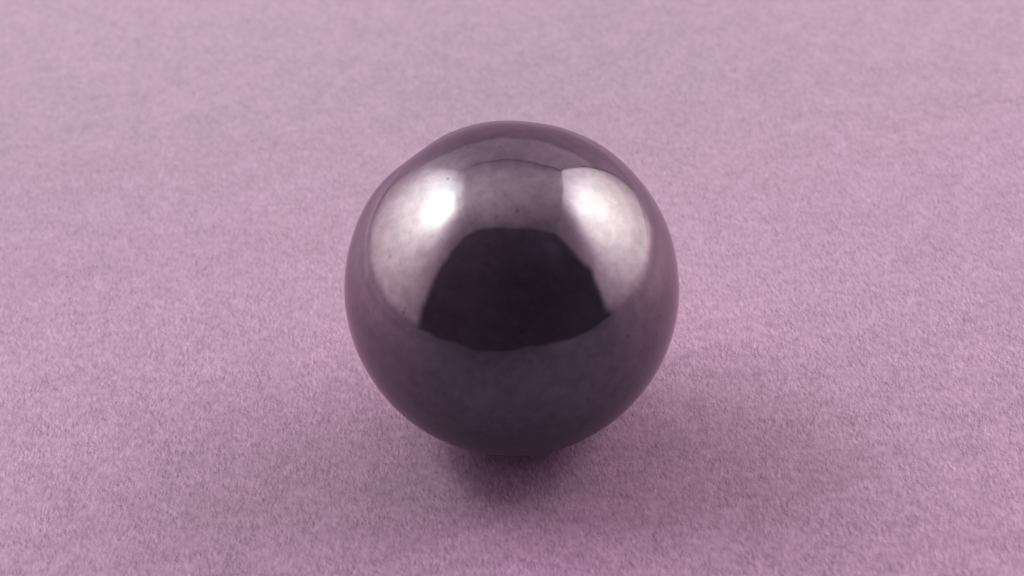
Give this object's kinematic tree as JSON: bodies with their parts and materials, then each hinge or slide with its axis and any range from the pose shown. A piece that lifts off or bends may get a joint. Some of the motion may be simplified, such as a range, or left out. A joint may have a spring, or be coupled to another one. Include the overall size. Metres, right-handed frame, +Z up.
{
  "type": "cue ball",
  "caption": "Polished cue ball with a dark metallic lustre, a small soft flat patch, and a core inside an iron-filled layer that a ball-return magnet can sort.",
  "frame": {"origin": "centre of the ball", "axes": "+Z up, away from the table; the flat patch faces up, to -X and +Y, 42 degrees from straight up"},
  "size_m": [0.0572, 0.0572, 0.0572],
  "materials": {
    "casing_lustre": "cast phenolic resin loaded with a dark metallic pigment, mirror polished; reads as gunmetal or hematite, with tiny pits and dark specks",
    "iron_filled_resin": "resin packed with iron powder, dull grey-black, as moulded",
    "core_resin": "light unpigmented resin, as cast"
  },
  "bodies": {
    "root": {"outer_casing": "casing_lustre", "ferrous_cup_upper": "iron_filled_resin", "ferrous_cup_lower": "iron_filled_resin", "centre_core": "core_resin"}
  },
  "joints": []
}
